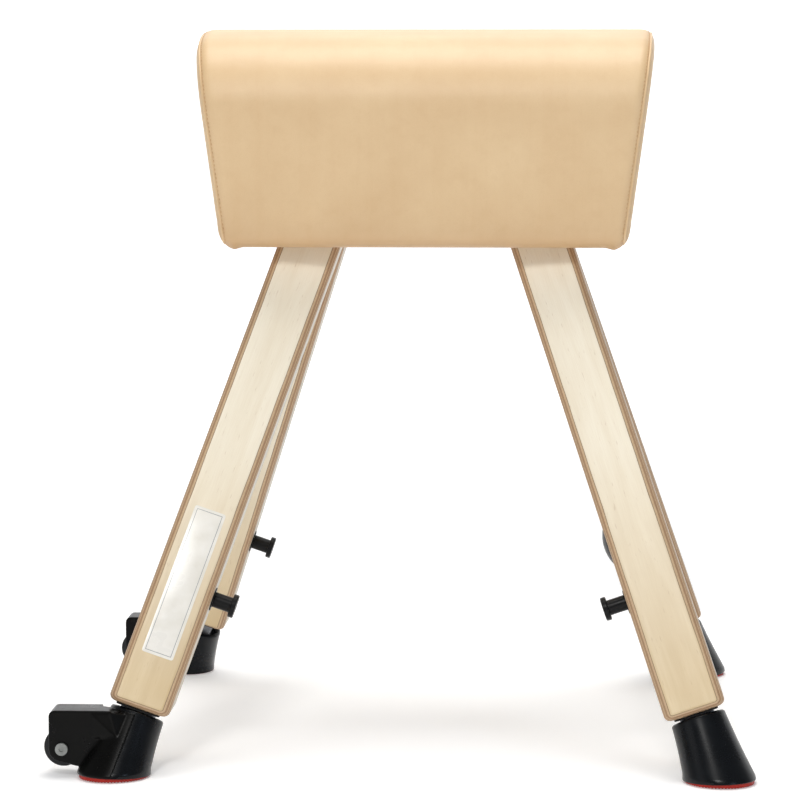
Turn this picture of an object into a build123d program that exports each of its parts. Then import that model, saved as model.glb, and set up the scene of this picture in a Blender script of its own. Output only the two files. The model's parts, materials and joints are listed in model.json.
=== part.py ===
from build123d import *

import math
import os

# A vaulting buck: a padded leather body on four splayed plywood legs. Millimetres, +Z up, +X along the body.
# The row origin is on the floor, at the centre of the object's footprint. The castors reach further out
# than the feet do, so the body's own centre line stands body_x beside it.

# ---- driving dimensions ----

# Padded body
body_length = 600.0          # at its longest, just under the crown
body_height = 290.0
body_width = 360.0           # where the side would meet the crown
body_bottom_width = 336.0
body_underside = 663.0       # height above the floor at the lowest setting
body_end_taper = 0.135       # how far each end leans in, per unit of height
longest_drop = 43.0          # from the crown down to where the body is longest
crown_radius = 420.0
shoulder_radius = 96.0
bottom_edge_radius = 23.0
end_edge_radius = 20.0
leather = 3.0
welt_width = 2.4
welt_proud = 1.0
seam_inset = 9.0             # how far the end panels wrap round onto the sides
foam = 34.0                  # over the sides and the ends
crown_foam = 42.0

# Timber core
core_board = 18.0
cheek_board = 15.0

# Legs: the axis of each leg meets the floor at foot_x, foot_y
foot_x = 384.0
foot_y = 390.0
splay_x = 0.3443             # inward run per unit of height, along the body
splay_y = 0.4986             # and across it
leg_side = 80.0
leg_wall = 15.0
leg_corner_radius = 12.0
leg_end_round = 7.0
leg_bottom = 82.0            # distances marked "along" are measured up the leg's axis from the floor
leg_hole_gap = 1.5           # round a leg where it enters the body

# Telescopic tube
tube_side = 45.0
tube_wall = 3.0
tube_corner_radius = 4.0
tube_bottom = 36.0           # along
tube_top = 812.0             # along
tube_plug = 6.0
glide_play = 0.1             # each side, between a glide and what it runs on
glide_length = 30.0
bush_length = 70.0
bush_flange = 3.0
bush_flange_side = 58.0
head_block_bottom = 828.0    # along

# Height setting
height_step = 50.0
height_steps = 8
lock_height = 225.0          # height of the locking pins' axis where it crosses the leg's axis

# Locking plunger
pin_radius = 5.0
pin_hole_play = 0.3
fit_play = 0.05              # radial running clearance
pin_travel = 8.0
pin_draw_gap = 1.0           # from the drawn pin's tip to the tube
knob_shaft_radius = 10.0
knob_flange_radius = 15.5
knob_flange_thickness = 7.0
knob_stand_out = 32.0
knob_end_gap = 0.3
knob_socket_radius = 7.5
sleeve_radius = 13.0
sleeve_lip = 2.5
rosette_radius = 15.5
rosette_thickness = 1.5
spring_wire = 1.2
spring_radius = 6.5          # to the middle of the wire
spring_turns = 6

# Clamp screw of the rear right leg
clamp_screw_radius = 5.0
clamp_insert_radius = 9.0
clamp_gap = 0.4              # from the loose pad to the tube
clamp_pad_length = 4.0
clamp_knob_radius = 30.0
clamp_knob_thickness = 16.0
clamp_knob_rim = 8.0
clamp_knob_bore_depth = 12.0
clamp_collar_radius = 9.5
clamp_collar_length = 4.5
clamp_collar_gap = 0.8       # from the loose knob's collar to the rosette
clamp_lobes = 7
clamp_scallop_radius = 8.0
clamp_scallop_depth = 3.0

# Foot
foot_top = 83.0              # along
foot_top_radius = 35.5
foot_bottom_major = 47.0
foot_bottom_minor = 44.0
foot_top_round = 3.0
sole_thickness = 9.0
tread_pitch = 9.0
tread_groove = 3.0
foot_bolt_radius = 5.0
foot_bolt_head_radius = 8.0
foot_bolt_head = 8.0
foot_bolt_recess_radius = 9.5
foot_floor = 8.0

# Transport castor
wheel_radius = 25.0
wheel_width = 24.0
tyre_thickness = 7.0
wheel_reach = 65.5           # from the foot's centre to the wheel's axis
wheel_lift = 12.0            # of the tyre above the floor
castor_inset = 15.0          # of the castor's middle plane from foot_y
castor_width = 50.0
castor_wall = 5.0
castor_top = 49.0            # above the wheel's axis
castor_toe = 22.0            # below the wheel's axis, beside the foot
castor_end = 17.0            # beyond the wheel's axis
castor_corner = 8.0
wheel_gap = 3.0
hub_boss_radius = 8.0
hub_play = 0.2
axle_radius = 4.0
axle_head_radius = 8.0
axle_head = 5.0
axle_socket_radius = 3.5
axle_nut_radius = 7.0
axle_nut = 6.5
wrap_thickness = 3.0
wrap_foot = 22.0             # height of the wrap's lower edge

# Bolts through the leg heads
bolt_radius = 6.0
bolt_hole_play = 0.3
bolt_head_radius = 10.0
bolt_head = 8.0
leg_bolts = ((27.0, 738.0), (17.0, 800.0))   # distance from the middle plane, height

overshoot = 5.0              # how far a cutting body runs past what it cuts


# ---- worked out from them ----

SIDES = {"fl": (-1, -1), "fr": (1, -1), "rl": (-1, 1), "rr": (1, 1)}
PLUNGER_LEGS = ("fl", "fr", "rl")
CLAMP_LEG = "rr"
CASTOR_LEGS = ("fl", "rl")

along_per_height = math.sqrt(1 + splay_x**2 + splay_y**2)
step_along = height_step * along_per_height
travel = step_along * height_steps
lock_along = lock_height * along_per_height
splay_angle = math.degrees(math.atan2(splay_y, splay_x))

body_top = body_underside + body_height
cavity_side = leg_side - 2 * leg_wall
wheel_x = foot_x + wheel_reach
wheel_z = wheel_radius + wheel_lift
castor_y = foot_y - castor_inset

foot_reach_x = math.hypot(
    foot_bottom_major * math.cos(math.radians(splay_angle)),
    foot_bottom_minor * math.sin(math.radians(splay_angle)),
)
body_x = ((wheel_x + wheel_radius) - (foot_x + foot_reach_x)) / 2

# Distances out from a leg's axis, through its inner side face
tube_face = tube_side / 2
leg_face = leg_side / 2
sleeve_inner = tube_face + pin_draw_gap
knob_inner = sleeve_inner + sleeve_lip + knob_end_gap + pin_travel
knob_outer = leg_face + knob_stand_out
pin_tip = tube_face + pin_draw_gap
clamp_pad_face = tube_face + clamp_gap
clamp_knob_face = leg_face + rosette_thickness + clamp_collar_gap + clamp_collar_length

base_bottom = body_underside + leather
base_top = base_bottom + core_board
core_top = body_top - leather - crown_foam
core_half_x = body_length / 2 - leather - foam - body_end_taper * (core_top - base_bottom)
core_half_y = body_bottom_width / 2 - leather - foam + core_board / 2


# ---- frames ----

def leg_axis(leg, height):
    """The point of a leg's axis at a height above the floor."""
    sx, sy = SIDES[leg]
    return Vector(body_x + sx * (foot_x - splay_x * height), sy * (foot_y - splay_y * height), height)


def leg_plane(leg):
    """Origin where the axis meets the floor, Z up along the leg, X out of its inner side face."""
    sx, sy = SIDES[leg]
    return Plane(
        origin=leg_axis(leg, 0),
        x_dir=(-sx, 0, -splay_x),
        z_dir=(-sx * splay_x, -sy * splay_y, 1),
    )


def square_bar(side, low, high, radius=0.0):
    """A square prism on the leg's axis, with rounded corners if a radius is given."""
    outline = RectangleRounded(side, side, radius) if radius else Rectangle(side, side)
    return Pos(0, 0, low) * extrude(outline, high - low)


def turned(radius, inner, outer):
    """A cylinder along +X between two distances from the origin."""
    return Pos((inner + outer) / 2, 0, 0) * Rot(0, 90, 0) * Cylinder(radius, outer - inner)


def at_lock(leg, shape):
    """Moves a shape built along +X to the locking height of a leg."""
    return leg_plane(leg) * Pos(0, 0, lock_along) * shape


# ---- padded body ----

def body_profile(inset):
    """The body's cross-section in the YZ plane: a crowned top, shoulders, leaning sides and a flat base."""
    lean = (body_width - body_bottom_width) / 2 / body_height
    flank = Polygon(
        (-body_bottom_width / 2, body_underside),
        (body_bottom_width / 2, body_underside),
        (body_bottom_width / 2 + lean * 2 * body_height, body_underside + 2 * body_height),
        (-body_bottom_width / 2 - lean * 2 * body_height, body_underside + 2 * body_height),
        align=None,
    )
    outline = flank & (Pos(0, body_top - crown_radius) * Circle(crown_radius))
    corners = outline.vertices().sort_by(Axis.Y)
    outline = fillet(corners[-2:], shoulder_radius)
    outline = fillet(outline.vertices().sort_by(Axis.Y)[:2], bottom_edge_radius)
    return offset(outline, amount=-inset) if inset else outline


def end_half_length(height, inset):
    """Half of the body's length at a height, measured to the end panel's face less an inset."""
    face = body_length / 2 - body_end_taper * (body_top - longest_drop - height)
    return face - inset * math.hypot(1, body_end_taper)


def end_prism(inset):
    """Everything between the two leaning end faces."""
    low, high = body_underside - body_height, body_top + body_height
    lower, upper = end_half_length(low, inset), end_half_length(high, inset)
    outline = Polygon((-lower, low), (lower, low), (upper, high), (-upper, high), align=None)
    return Plane.XZ * extrude(outline, body_width, both=True)


def body_form(inset=0.0, rounded=True):
    """The padded body's outer form, inset all round."""
    bar = Plane.YZ * extrude(body_profile(inset), body_length, both=True)
    form = bar & end_prism(inset)
    if rounded:
        ends = form.faces().filter_by(lambda face: abs(face.normal_at().X) > 0.9)
        form = fillet(ends.edges(), end_edge_radius - inset)
    return Pos(body_x, 0, 0) * form


def leg_openings(height_low, height_high):
    """The four legs' outer form, with clearance, between two heights."""
    side = leg_side + 2 * leg_hole_gap
    corner = leg_corner_radius + leg_hole_gap
    low = (height_low - leg_side) * along_per_height
    high = (height_high + leg_side) * along_per_height
    openings = [leg_plane(leg) * square_bar(side, low, high, corner) for leg in SIDES]
    return openings


def seam_prism(inset):
    return Pos(body_x, 0, 0) * end_prism(inset)


def leather_shell():
    return body_form() - body_form(leather)


def leather_cover():
    """The wrap over the crown, the sides and the underside."""
    return (leather_shell() & seam_prism(seam_inset)) - leg_openings(body_underside, base_bottom)


def leather_ends():
    """Both end panels, left first."""
    return (leather_shell() - seam_prism(seam_inset - welt_width)).solids().sort_by(Axis.X)


def welts():
    ring = body_form(-welt_proud) - body_form(leather)
    return (ring & seam_prism(seam_inset - welt_width)) - seam_prism(seam_inset)


def core_block():
    """The space that the timber core takes up, its base board included."""
    height = core_top - base_bottom
    return Pos(body_x, 0, base_bottom + height / 2) * Box(2 * core_half_x, 2 * core_half_y, height)


def foam_padding():
    return body_form(leather) - core_block()


def core_base_board():
    board = Box(2 * core_half_x, 2 * core_half_y, core_board)
    board = Pos(body_x, 0, base_bottom + core_board / 2) * board
    return board - leg_openings(base_bottom, base_top)


def core_top_board():
    return Pos(body_x, 0, core_top - core_board / 2) * Box(2 * core_half_x, 2 * core_half_y, core_board)


def core_walls():
    """The end boards and the side boards, which stand between the base board and the top board."""
    height = core_top - core_board - base_top
    middle = base_top + height / 2
    end_board = Box(core_board, 2 * core_half_y, height)
    side_board = Box(2 * (core_half_x - core_board), core_board, height)
    ends = [Pos(body_x + s * (core_half_x - core_board / 2), 0, middle) * end_board for s in (-1, 1)]
    sides = [Pos(body_x, s * (core_half_y - core_board / 2), middle) * side_board for s in (-1, 1)]
    return ends, sides


def core_room():
    """The space inside the core's boards."""
    height = core_top - core_board - base_top
    room = Box(2 * (core_half_x - core_board), 2 * (core_half_y - core_board), height)
    return Pos(body_x, 0, base_top + height / 2) * room


def head_bolts(leg, make):
    """One shape from make() on each bolt's axis through a leg's head."""
    sx, sy = SIDES[leg]
    frame = leg_plane(leg)
    shapes = []
    for distance, height in leg_bolts:
        centre = Vector(body_x + sx * (foot_x - splay_x * height), sy * distance, height)
        shapes.append(Plane(origin=centre, x_dir=frame.x_dir, z_dir=frame.z_dir) * make())
    return shapes


def bolt_hole():
    reach = leg_face + cheek_board + overshoot
    return turned(bolt_radius + bolt_hole_play, -reach, reach)


def leg_cheeks():
    """Two boards to each pair of legs, flat against the legs' side faces."""
    cheeks = []
    for leg in ("fl", "fr"):
        low, high = base_bottom * along_per_height, core_top * 2
        for side in (-1, 1):
            slab = Box(cheek_board, 4 * core_half_y, high - low)
            slab = leg_plane(leg) * Pos(side * (leg_face + cheek_board / 2), 0, (low + high) / 2) * slab
            cheeks.append(slab & core_room())
    holes = [hole for leg in SIDES for hole in head_bolts(leg, bolt_hole)]
    return [cheek - holes for cheek in cheeks]


def head_bolt():
    reach = leg_face + cheek_board
    head = turned(bolt_head_radius, reach, reach + bolt_head)
    return turned(bolt_radius, -reach - bolt_head, reach + overshoot / 5) + head


def head_nut():
    reach = leg_face + cheek_board
    hexagon = Rot(0, 90, 0) * extrude(RegularPolygon(bolt_head_radius, 6), bolt_head - 1)
    nut = Pos(-reach - bolt_head + 1, 0, 0) * hexagon
    return nut - turned(bolt_radius + fit_play, -reach - bolt_head - overshoot, 0)


# ---- legs ----

def own_half(leg):
    """The half of the space in front of, or behind, the middle plane where the leg heads meet."""
    sy = SIDES[leg][1]
    size = 4 * body_top
    return Pos(0, sy * size / 2, 0) * Box(size, size, size)


def below_end(leg, along):
    """What lies below a leg's lower end, which is cut level from front to back at its outward face."""
    sx, sy = SIDES[leg]
    frame = leg_plane(leg)
    toe = frame.origin + frame.z_dir * along - frame.y_dir * (sx * sy * leg_face)
    cut = Plane(origin=toe, x_dir=frame.x_dir, z_dir=frame.x_dir.cross(Vector(0, 1, 0)) * -sx)
    return cut * Pos(0, 0, -2 * leg_side) * Box(4 * leg_side, 4 * leg_side, 4 * leg_side)


def leg_box(leg):
    """A hollow plywood leg, mitred against its partner inside the body."""
    top = core_top * along_per_height
    outer = leg_plane(leg) * square_bar(leg_side, leg_bottom - leg_side, top, leg_corner_radius)
    outer -= below_end(leg, leg_bottom)
    outer = fillet(outer.faces().sort_by(Axis.Z)[0].edges(), leg_end_round)
    outer -= leg_plane(leg) * square_bar(cavity_side, leg_bottom - leg_side, top + overshoot)
    box = (outer & own_half(leg)) - head_bolts(leg, bolt_hole)
    radius = clamp_insert_radius if leg == CLAMP_LEG else sleeve_radius
    return box - at_lock(leg, turned(radius, cavity_side / 2 - overshoot, leg_face + overshoot))


def head_block(leg):
    """The solid block that fills a leg's cavity where the bolts pass."""
    block = leg_plane(leg) * square_bar(cavity_side, head_block_bottom, core_top * along_per_height)
    return (block & own_half(leg)) - head_bolts(leg, bolt_hole)


def guide_bush(leg):
    """The liner that the tube runs in at the leg's lower end, with a flange over the cut end."""
    low, high = leg_bottom - leg_side, leg_bottom + bush_length
    liner = leg_plane(leg) * square_bar(cavity_side, low, high) - below_end(leg, leg_bottom)
    flange = leg_plane(leg) * square_bar(bush_flange_side, low, high, tube_corner_radius)
    flange = (flange & below_end(leg, leg_bottom)) - below_end(leg, leg_bottom - bush_flange)
    bore_side = tube_side + 2 * glide_play
    bore = square_bar(bore_side, 0, leg_bottom + 2 * bush_length, tube_corner_radius + glide_play)
    return liner + flange - leg_plane(leg) * bore


def leg_tube(leg):
    """The sliding steel tube, with the plug that closes its lower end and a row of locking holes."""
    outer = square_bar(tube_side, tube_bottom, tube_top, tube_corner_radius)
    inner_side = tube_side - 2 * tube_wall
    inner = square_bar(inner_side, tube_bottom + tube_plug, tube_top + overshoot, tube_corner_radius - tube_wall)
    thread = Cylinder(foot_bolt_radius + fit_play, 4 * tube_plug)
    tube = outer - inner - Pos(0, 0, tube_bottom) * thread
    if leg in PLUNGER_LEGS:
        hole = turned(pin_radius + pin_hole_play, 0, tube_side)
        tube -= [Pos(0, 0, lock_along + step * step_along) * hole for step in range(height_steps + 1)]
    return leg_plane(leg) * tube


def tube_glide(leg):
    """The cap on the tube's upper end that keeps it centred in the leg."""
    high = tube_top + tube_wall
    cap = square_bar(cavity_side - 2 * glide_play, tube_top - glide_length, high)
    return leg_plane(leg) * (cap - square_bar(tube_side, 0, tube_top, tube_corner_radius))


# ---- feet ----

def sole_outline(leg, grow=0.0):
    """An oval, longest the way the leg leans and starting at its inward end."""
    sx, sy = SIDES[leg]
    inward = math.degrees(math.atan2(-sy * splay_y, -sx * splay_x))
    return Rot(0, 0, inward) * Ellipse(foot_bottom_major + grow, foot_bottom_minor + grow)


def ankle_disc(leg, along, radius):
    """A disc across the leg's axis that starts at its inward side, as the oval does."""
    up = leg_plane(leg).z_dir
    outward = up.cross(Vector(0, 0, 1)).cross(up)
    centre = leg_axis(leg, along / along_per_height)
    return Plane(origin=centre, x_dir=-outward, z_dir=up) * Circle(radius)


def foot_form(leg, grow=0.0):
    """The boot: an oval flat on the sole, round across the leg's axis above, with a bevelled rim."""
    sx, sy = SIDES[leg]
    bottom = Pos(body_x + sx * foot_x, sy * foot_y, sole_thickness) * sole_outline(leg, grow)
    ankle = ankle_disc(leg, foot_top - foot_top_round, foot_top_radius + grow)
    rim = ankle_disc(leg, foot_top, foot_top_radius + grow - foot_top_round)
    return loft([bottom.face(), ankle.face(), rim.face()], ruled=True)


def foot(leg):
    socket = square_bar(tube_side, tube_bottom, foot_top + overshoot, tube_corner_radius)
    recess_top = tube_bottom - foot_floor
    recess = Pos(0, 0, recess_top / 2) * Cylinder(foot_bolt_recess_radius, recess_top)
    hole = Pos(0, 0, tube_bottom) * Cylinder(foot_bolt_radius + bolt_hole_play, 4 * foot_floor)
    return foot_form(leg) - leg_plane(leg) * (socket + recess + hole)


def foot_bolt(leg):
    """The bolt from the foot's recess into the tube's plug."""
    head_top = tube_bottom - foot_floor
    head = Pos(0, 0, head_top - foot_bolt_head / 2) * Cylinder(foot_bolt_head_radius, foot_bolt_head)
    socket = Pos(0, 0, head_top - foot_bolt_head) * Rot(0, 0, 30)
    head -= socket * extrude(RegularPolygon(foot_bolt_radius * 0.9, 6), foot_bolt_head / 2)
    shank_length = foot_floor + 3 * tube_plug
    shank = Pos(0, 0, head_top + shank_length / 2) * Cylinder(foot_bolt_radius, shank_length)
    return leg_plane(leg) * (head + shank)


def sole(leg):
    """The rubber sole, with its underside cut into small square treads."""
    sx, sy = SIDES[leg]
    pad = extrude(sole_outline(leg), sole_thickness)
    length = 2 * (foot_bottom_major + overshoot)
    count = round(foot_bottom_major / tread_pitch)
    for turn in (0, 90):
        groove = Rot(0, 0, turn) * Box(length, tread_groove, 2 * tread_groove)
        step = Vector(0, tread_pitch, 0).rotate(Axis.Z, turn)
        pad -= [Pos(step * (n + 0.5)) * groove for n in range(-count - 1, count + 1)]
    return Pos(body_x + sx * foot_x, sy * foot_y, 0) * pad


# ---- castors ----

def castor_place(leg, shape):
    """Moves a shape built at the wheel's centre, with +X outward, to a castor."""
    sy = SIDES[leg][1]
    if sy > 0:
        shape = mirror(shape, Plane.XZ)
    return Pos(body_x - wheel_x, sy * castor_y, wheel_z) * mirror(shape, Plane.YZ)


def castor_bracket(leg):
    """The hooded fork, with the shell that wraps round the foot."""
    inward = -wheel_reach
    bonnet_height = castor_top + castor_corner
    bonnet = RectangleRounded(castor_end - inward, bonnet_height, castor_corner)
    outline = Pos((castor_end + inward) / 2, castor_top - bonnet_height / 2) * bonnet
    outline += Circle(castor_end)
    outline += Polygon(
        (0, -castor_end), (-castor_end, -castor_toe), (inward, -castor_toe), (inward, 0), (0, 0), align=None
    )
    fork = Plane.XZ * extrude(outline, castor_width / 2, both=True)
    room_top = castor_top - castor_wall
    room_length = castor_end - castor_wall - inward + overshoot
    room = Pos(castor_end - castor_wall - room_length / 2, room_top - castor_top) * Rectangle(
        room_length, 2 * castor_top
    )
    room += Circle(wheel_radius + wheel_gap)
    fork -= Plane.XZ * extrude(room, castor_width / 2 - castor_wall, both=True)
    fork -= Rot(90, 0, 0) * Cylinder(axle_radius + fit_play, 2 * castor_width)
    fork = castor_place(leg, fork)

    sx, sy = SIDES[leg]
    wrap_height = foot_top - wrap_foot
    band = Box(2 * foot_bottom_major, 4 * foot_bottom_major, wrap_height)
    centre_x = body_x + sx * (foot_x - splay_x * wrap_foot)
    band = Pos(centre_x + sx * foot_bottom_major, sy * foot_y, wrap_foot + wrap_height / 2) * band
    wrap = foot_form(leg, wrap_thickness) & band
    above = leg_plane(leg) * square_bar(leg_side + 2 * overshoot, foot_top - foot_top_round, tube_top)
    return (fork + wrap) - foot_form(leg) - above


def castor_axle(leg):
    """A cap screw across the fork, with its nut."""
    half = castor_width / 2
    shank = Rot(90, 0, 0) * Cylinder(axle_radius, castor_width + 2 * axle_nut)
    head = Pos(0, -half - axle_head / 2, 0) * Rot(90, 0, 0) * Cylinder(axle_head_radius, axle_head)
    screw = shank - Pos(0, -half - castor_width, 0) * Box(castor_width, 2 * castor_width, castor_width) + head
    socket = Plane.XZ.offset(half + axle_head / 2) * extrude(RegularPolygon(axle_socket_radius, 6), axle_head)
    nut = Plane.XZ.offset(-half - axle_nut) * extrude(RegularPolygon(axle_nut_radius, 6), axle_nut)
    nut -= Rot(90, 0, 0) * Cylinder(axle_radius + fit_play, 4 * castor_width)
    return [castor_place(leg, screw - socket), castor_place(leg, nut)]


def castor_hub(leg):
    radius = wheel_radius - tyre_thickness
    boss = Rot(90, 0, 0) * Cylinder(hub_boss_radius, castor_width - 2 * castor_wall - 2 * hub_play)
    hub = Rot(90, 0, 0) * Cylinder(radius, wheel_width) + boss
    return castor_place(leg, hub - Rot(90, 0, 0) * Cylinder(axle_radius + fit_play, castor_width))


def castor_tyre(leg):
    tyre = Cylinder(wheel_radius, wheel_width)
    tyre = fillet(tyre.edges().filter_by(GeomType.CIRCLE), tyre_thickness / 3)
    tyre -= Cylinder(wheel_radius - tyre_thickness, 2 * wheel_width)
    return castor_place(leg, Rot(90, 0, 0) * tyre)


# ---- locking plungers and clamp ----

def plunger_sleeve(leg):
    """The guide set in the leg's wall, with its thin rosette outside."""
    body = turned(sleeve_radius, sleeve_inner, leg_face)
    rosette = turned(rosette_radius, leg_face, leg_face + rosette_thickness)
    shaft_bore = turned(knob_shaft_radius + fit_play, sleeve_inner + sleeve_lip, leg_face + overshoot)
    pin_bore = turned(pin_radius + fit_play, 0, leg_face)
    return at_lock(leg, body + rosette - shaft_bore - pin_bore)


def plunger_knob(leg):
    """The pull knob: a plain shaft with a flange, hollow for the spring."""
    shaft = turned(knob_shaft_radius, knob_inner, knob_outer - knob_flange_thickness / 2)
    flange = turned(knob_flange_radius, knob_outer - knob_flange_thickness, knob_outer)
    flange = fillet(flange.edges().filter_by(GeomType.CIRCLE), knob_flange_thickness / 5)
    socket = turned(knob_socket_radius, knob_inner - overshoot, spring_seat())
    hole = turned(pin_radius, knob_inner, knob_outer - knob_flange_thickness)
    return at_lock(leg, shaft + flange - socket - hole)


def spring_seat():
    """Where the spring's outer end bears, inside the knob."""
    return knob_outer - 1.5 * knob_flange_thickness


def plunger_pin(leg):
    pin = turned(pin_radius, pin_tip, knob_outer - knob_flange_thickness)
    tip = pin.faces().sort_by(Axis.X)[0]
    return at_lock(leg, chamfer(tip.edges(), pin_radius / 5))


def plunger_spring(leg):
    """Wire turns, drawn as closed rings at the length that they have when the pin is home."""
    room = spring_seat() - knob_inner - spring_wire
    pitch = room / (spring_turns - 1)
    ring = Rot(0, 90, 0) * Torus(spring_radius, spring_wire / 2)
    first = knob_inner + spring_wire / 2
    return [at_lock(leg, Pos(first + n * pitch, 0, 0) * ring) for n in range(spring_turns)]


def clamp_insert(leg):
    """The threaded insert in the leg's wall."""
    body = turned(clamp_insert_radius, cavity_side / 2, leg_face)
    rosette = turned(rosette_radius, leg_face, leg_face + rosette_thickness)
    return at_lock(leg, body + rosette - turned(clamp_screw_radius + fit_play, 0, 2 * leg_side))


def clamp_pad(leg):
    pad = turned(clamp_screw_radius, clamp_pad_face, clamp_pad_face + clamp_pad_length)
    return at_lock(leg, fillet(pad.faces().sort_by(Axis.X)[0].edges(), clamp_screw_radius / 5))


def clamp_screw(leg):
    inner = clamp_pad_face + clamp_pad_length
    return at_lock(leg, turned(clamp_screw_radius, inner, clamp_knob_face + clamp_knob_bore_depth))


def clamp_knob(leg):
    """A domed knob with finger scallops, on a collar."""
    rim, rise = clamp_knob_rim, clamp_knob_thickness - clamp_knob_rim
    dome_radius = (clamp_knob_radius**2 + rise**2) / (2 * rise)
    disc = turned(clamp_knob_radius, clamp_knob_face, clamp_knob_face + clamp_knob_thickness)
    disc &= Pos(clamp_knob_face + rim + rise - dome_radius, 0, 0) * Sphere(dome_radius)
    scallop = turned(clamp_scallop_radius, 0, knob_outer)
    reach = clamp_knob_radius + clamp_scallop_radius - clamp_scallop_depth
    for n in range(clamp_lobes):
        disc -= Rot(360 / clamp_lobes * n, 0, 0) * Pos(0, 0, reach) * scallop
    collar = turned(clamp_collar_radius, clamp_knob_face - clamp_collar_length, clamp_knob_face)
    bore = turned(clamp_screw_radius, 0, clamp_knob_face + clamp_knob_bore_depth)
    return at_lock(leg, disc + collar - bore)


# ---- files ----

def each_leg(name, make, legs=tuple(SIDES)):
    return {f"{name}_{leg}": make(leg) for leg in legs}


def all_nodes():
    left_end, right_end = leather_ends()
    end_boards, side_boards = core_walls()
    bolts = [bolt for leg in SIDES for bolt in head_bolts(leg, head_bolt)]
    nuts = [nut for leg in SIDES for nut in head_bolts(leg, head_nut)]
    nodes = {
        "leather_cover": leather_cover(),
        "leather_end_left": left_end,
        "leather_end_right": right_end,
        "welts": welts(),
        "foam_padding": foam_padding(),
        "core_end_boards": end_boards,
        "core_side_boards": side_boards,
        "core_top_board": core_top_board(),
        "core_base_board": core_base_board(),
        "leg_cheeks": leg_cheeks(),
        "leg_head_blocks": [head_block(leg) for leg in SIDES],
        "leg_head_bolts": bolts + nuts,
        "leg_guide_bushes": [guide_bush(leg) for leg in SIDES],
        "plunger_sleeves": [plunger_sleeve(leg) for leg in PLUNGER_LEGS],
        "clamp_insert": clamp_insert(CLAMP_LEG),
        "clamp_pad": clamp_pad(CLAMP_LEG),
        "clamp_screw": clamp_screw(CLAMP_LEG),
        "clamp_knob": clamp_knob(CLAMP_LEG),
    }
    for name, make in (("leg_box", leg_box), ("leg_tube", leg_tube), ("tube_glide", tube_glide)):
        nodes |= each_leg(name, make)
    for name, make in (("foot", foot), ("foot_bolt", foot_bolt), ("sole", sole)):
        nodes |= each_leg(name, make)
    for name, make in (("plunger_knob", plunger_knob), ("plunger_pin", plunger_pin)):
        nodes |= each_leg(name, make, PLUNGER_LEGS)
    nodes |= each_leg("plunger_spring", plunger_spring, PLUNGER_LEGS)
    for name, make in (("castor_bracket", castor_bracket), ("castor_axle", castor_axle)):
        nodes |= each_leg(name, make, CASTOR_LEGS)
    for name, make in (("castor_hub", castor_hub), ("castor_tyre", castor_tyre)):
        nodes |= each_leg(name, make, CASTOR_LEGS)
    return nodes


def write(nodes):
    os.makedirs("parts", exist_ok=True)
    for name, shape in nodes.items():
        pieces = shape if isinstance(shape, list) else [shape]
        solids = [solid for piece in pieces for solid in piece.solids()]
        whole = solids[0] if len(solids) == 1 else Compound(children=solids)
        export_step(whole, f"parts/{name}.step")


write(all_nodes())
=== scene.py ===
"""Looks for a vaulting buck: a padded leather body on four splayed plywood legs with telescopic feet.

Metres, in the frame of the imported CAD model. The hard parts keep their CAD meshes and get materials
here. The leather body, the welts, the stitching, the feet, the soles, the castor shells and the blank
label are modelled here round the CAD's boxes.
"""

import json
import math
import random

import bmesh
import bpy
import numpy as np
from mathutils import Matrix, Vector
from mathutils.kdtree import KDTree


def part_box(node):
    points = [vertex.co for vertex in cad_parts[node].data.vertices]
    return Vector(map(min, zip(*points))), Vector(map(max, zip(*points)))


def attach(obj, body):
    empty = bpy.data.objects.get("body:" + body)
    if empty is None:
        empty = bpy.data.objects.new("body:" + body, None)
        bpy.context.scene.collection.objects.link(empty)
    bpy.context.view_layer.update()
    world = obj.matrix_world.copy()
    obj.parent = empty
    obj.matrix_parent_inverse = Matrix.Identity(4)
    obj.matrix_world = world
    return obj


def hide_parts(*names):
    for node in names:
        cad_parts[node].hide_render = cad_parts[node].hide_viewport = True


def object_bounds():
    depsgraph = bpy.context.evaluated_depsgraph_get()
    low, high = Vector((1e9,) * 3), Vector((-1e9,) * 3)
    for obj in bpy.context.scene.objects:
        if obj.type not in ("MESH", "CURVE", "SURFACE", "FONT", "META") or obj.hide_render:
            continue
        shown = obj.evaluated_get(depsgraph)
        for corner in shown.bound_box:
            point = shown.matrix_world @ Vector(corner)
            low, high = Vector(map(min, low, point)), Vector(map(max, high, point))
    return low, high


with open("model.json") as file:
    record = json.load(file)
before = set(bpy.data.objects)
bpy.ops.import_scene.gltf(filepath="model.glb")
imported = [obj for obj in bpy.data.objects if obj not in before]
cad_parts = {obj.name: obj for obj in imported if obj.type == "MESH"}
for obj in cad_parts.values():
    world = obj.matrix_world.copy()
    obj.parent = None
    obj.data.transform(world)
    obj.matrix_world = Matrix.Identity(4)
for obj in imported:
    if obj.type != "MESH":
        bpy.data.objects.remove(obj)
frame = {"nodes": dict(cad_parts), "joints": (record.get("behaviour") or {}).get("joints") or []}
cad_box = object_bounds()
nodes = frame["nodes"]

# ---- sizes, in metres ----

BOTTOM_HALF = 0.168          # half of the body's width at its flat base
FLANK = (0.012, 0.290)       # how far a side leans out as it rises
CROWN_RADIUS = 0.420
SHOULDER_RADIUS = 0.096
BASE_RADIUS = 0.023
END_RADIUS = 0.020
END_TAPER = 0.135            # how far an end leans in, per unit of height
LONGEST_DROP = 0.043         # from the crown down to where the body is longest
SEAM = 0.0065                # from the end face to the seam
LOOP = 132                   # columns round the body
ROWS = 58                    # rows of the wrap between its rounded edges
PUFF = 0.0035                # most that the padding pushes the wrap out
END_PUFF = 0.0045            # the same for the end panels
STITCH_PITCH = 0.0056
STITCH_LENGTH = 0.0036
WELT_RADIUS = 0.0019
STITCH_LINE = 0.0034         # from the seam to the stitches
EAR = 0.024                  # length of the slack corner under each end, from the seam
EAR_DROP = 0.0031

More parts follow.
